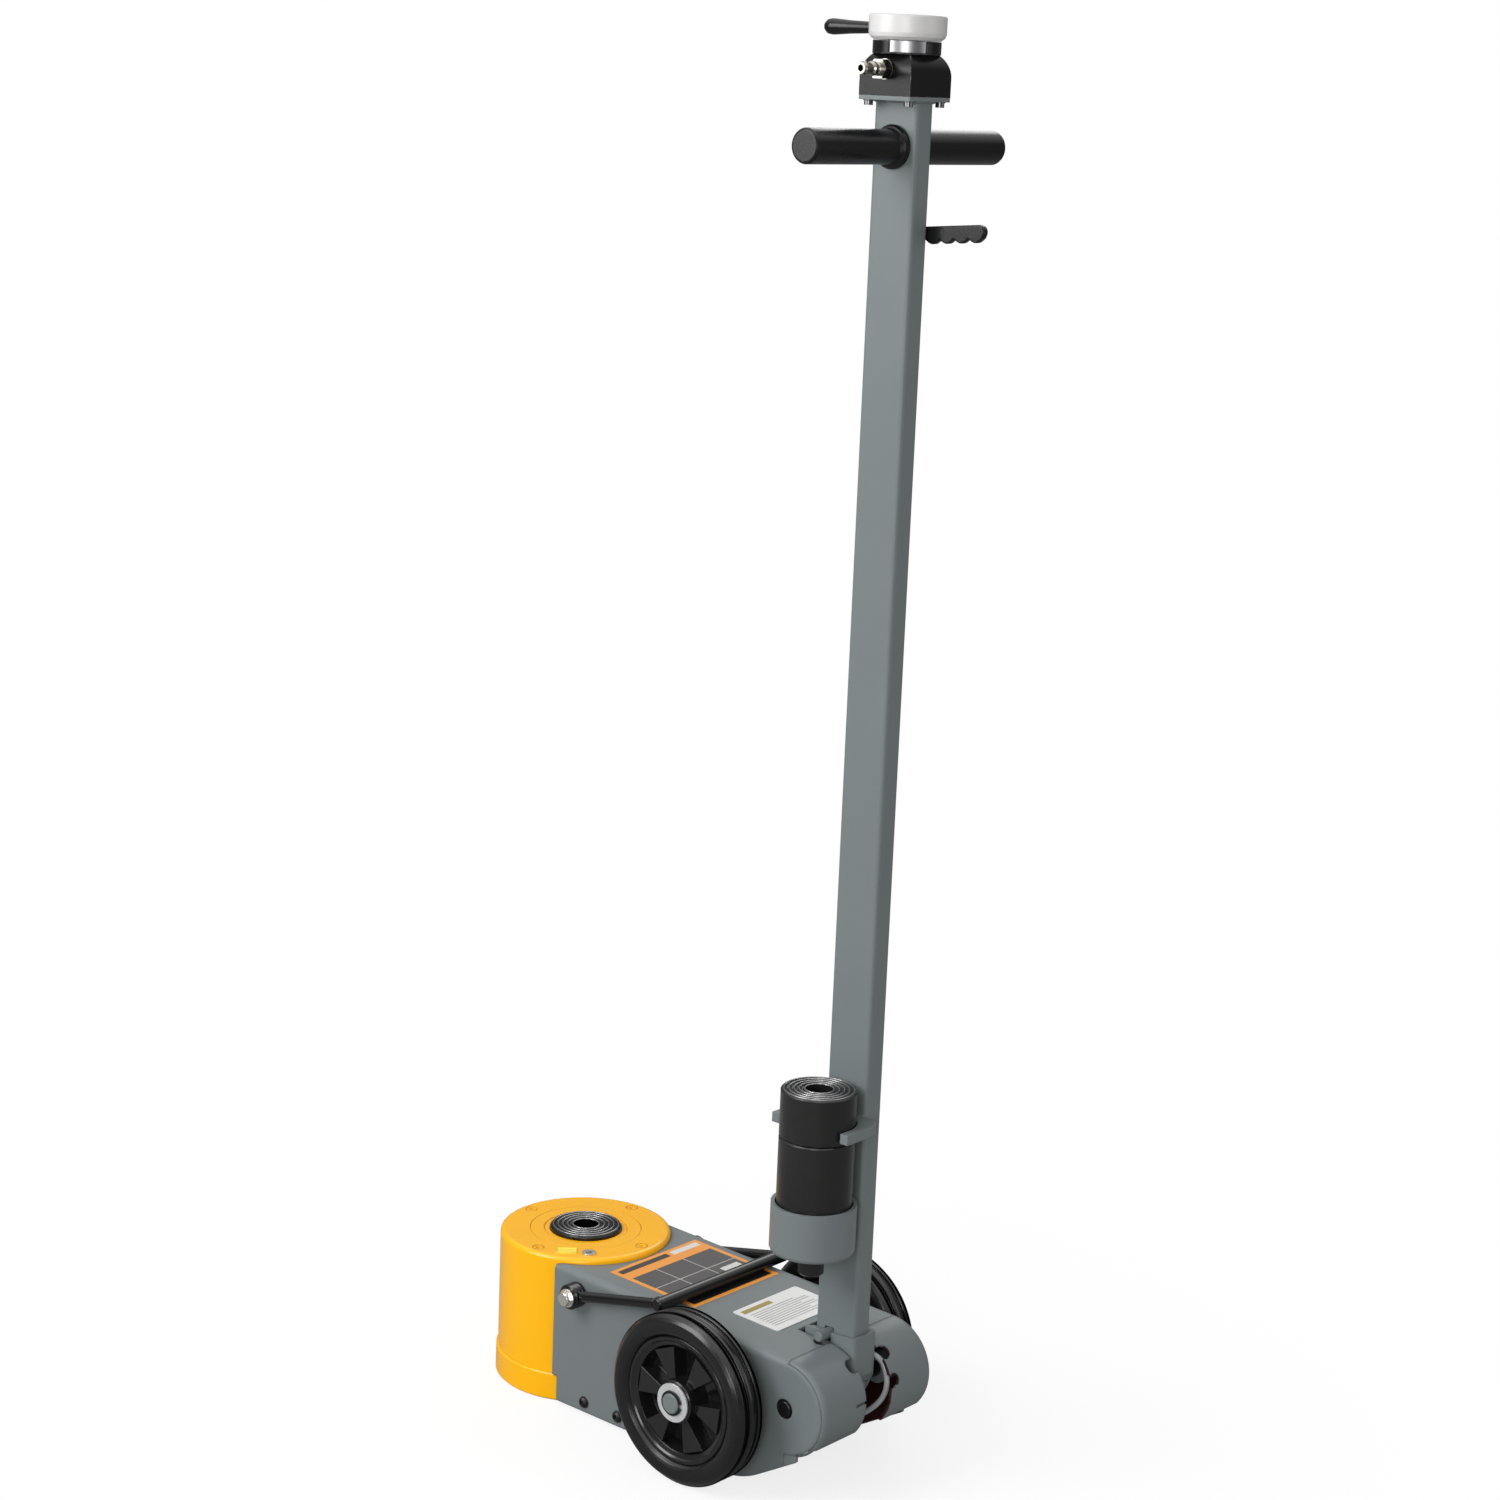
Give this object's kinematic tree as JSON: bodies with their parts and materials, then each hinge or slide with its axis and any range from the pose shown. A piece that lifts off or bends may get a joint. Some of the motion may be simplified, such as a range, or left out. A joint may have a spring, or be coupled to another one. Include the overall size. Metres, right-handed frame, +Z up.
{
  "type": "car jack",
  "caption": "Wheeled air-hydraulic car jack: low round lifting cylinder with telescopic ram and saddle, sheet body, tilting T-handle with control head and stacked saddle adapters.",
  "frame": {"origin": "floor under the ram axis, at the centre of the round base", "axes": "+Z up along the ram; +X back from the ram to the handle; -Y the side with the adapter holder and the air nipple"},
  "size_m": [0.5491, 0.295, 1.4545],
  "materials": {
    "yellow_paint": "gloss",
    "grey_paint": "satin",
    "steel": "machined",
    "zinc": "plated",
    "black_steel": "satin",
    "black_plastic": "moulded",
    "black_rubber": "matte",
    "white_plastic": "moulded",
    "bright_aluminium": "turned",
    "red_paint": "satin",
    "hose_plastic": "smooth"
  },
  "bodies": {
    "chassis": {"base_block": "yellow_paint", "reservoir_housing": "yellow_paint", "cover_screws": "yellow_paint", "filler_plug": "zinc", "gland_ring": "yellow_paint", "hydraulic_sleeve": "steel", "body_shell": "grey_paint", "tail_plate": "grey_paint", "base_tongue": "steel", "side_screws": "black_steel", "axle": "grey_paint", "axle_washers": "zinc", "axle_clips": "black_steel", "pivot_pin": "steel", "pivot_bosses": "steel", "pivot_clips": "black_steel", "bail_bolts": "zinc", "pump_block": "steel", "air_motor": "red_paint", "pressure_pipe": "steel", "air_hose": "hose_plastic", "data_plate": "bright_aluminium"},
    "first_stage": {"first_stage_ram": "steel", "piston_seal": "black_rubber"},
    "second_stage": {"second_stage_ram": "steel", "saddle": "black_steel"},
    "handle": {"pivot_sleeve": "grey_paint", "handle_tube": "grey_paint", "handle_socket": "grey_paint", "adapter_cup": "grey_paint", "adapter_fork": "grey_paint", "flange_plate": "grey_paint", "flange_bolts": "black_steel", "control_head": "black_plastic", "valve_core": "bright_aluminium", "head_collar": "black_plastic", "air_nipple": "zinc", "handlebar": "black_steel", "grip_left": "black_rubber", "grip_right": "black_rubber", "lever_pin": "steel"},
    "release_lever": {"lever_plate": "steel", "lever_grip": "black_plastic"},
    "lock": {"lock_rod": "steel", "lock_bar": "steel"},
    "control": {"control_knob": "white_plastic", "knob_spindle": "bright_aluminium", "knob_lever": "black_plastic"},
    "wheel_left": {"tyre_left": "black_rubber", "rim_left": "black_plastic"},
    "wheel_right": {"tyre_right": "black_rubber", "rim_right": "black_plastic"},
    "bail": {"bail_eyes": "black_plastic", "bail_arms": "black_steel", "bail_bar": "black_steel"},
    "lower_adapter": {"lower_adapter": "black_steel"},
    "upper_adapter": {"upper_adapter": "black_steel"}
  },
  "joints": [
    {"name": "first_stage_lift", "type": "slide", "parent": "chassis", "child": "first_stage", "axis": [0, 0, 1], "range_m": [0, 0.072]},
    {"name": "second_stage_lift", "type": "slide", "parent": "first_stage", "child": "second_stage", "axis": [0, 0, 1], "range_m": [0, 0.07]},
    {"name": "handle_tilt", "type": "hinge", "parent": "chassis", "child": "handle", "pos_m": [0.3633, 0, 0.0986], "axis": [0, 1, 0], "range_deg": [0, 84], "deforming": ["air_hose"]},
    {"name": "release_lever", "type": "hinge", "parent": "handle", "child": "release_lever", "pos_m": [0.348, 0.0155, 1.253], "axis": [0, -1, 0], "range_deg": [-12, 0]},
    {"name": "lock_slide", "type": "slide", "parent": "handle", "child": "lock", "axis": [0, 0, 1], "range_m": [-0.00545, 0]},
    {"name": "control_turn", "type": "hinge", "parent": "handle", "child": "control", "pos_m": [0.3633, 0, 1.4315], "axis": [0, 0, 1], "range_deg": [-40, 40]},
    {"name": "wheel_left_spin", "type": "hinge", "parent": "chassis", "child": "wheel_left", "pos_m": [0.2638, -0.121, 0.09], "axis": [0, 1, 0], "continuous": true},
    {"name": "wheel_right_spin", "type": "hinge", "parent": "chassis", "child": "wheel_right", "pos_m": [0.2638, 0.121, 0.09], "axis": [0, 1, 0], "continuous": true},
    {"name": "bail_swing", "type": "hinge", "parent": "chassis", "child": "bail", "pos_m": [0.075, 0, 0.133], "axis": [0, -1, 0], "range_deg": [0, 85]},
    {"name": "lower_adapter_lift", "type": "slide", "parent": "handle", "child": "lower_adapter", "axis": [0, 0, 1], "range_m": [0, 0.16]},
    {"name": "upper_adapter_lift", "type": "slide", "parent": "lower_adapter", "child": "upper_adapter", "axis": [0, 0, 1], "range_m": [0, 0.06]}
  ],
  "couplings": [
    {"joint": "lock_slide", "follows": "release_lever", "m_per_rad": 0.026}
  ]
}
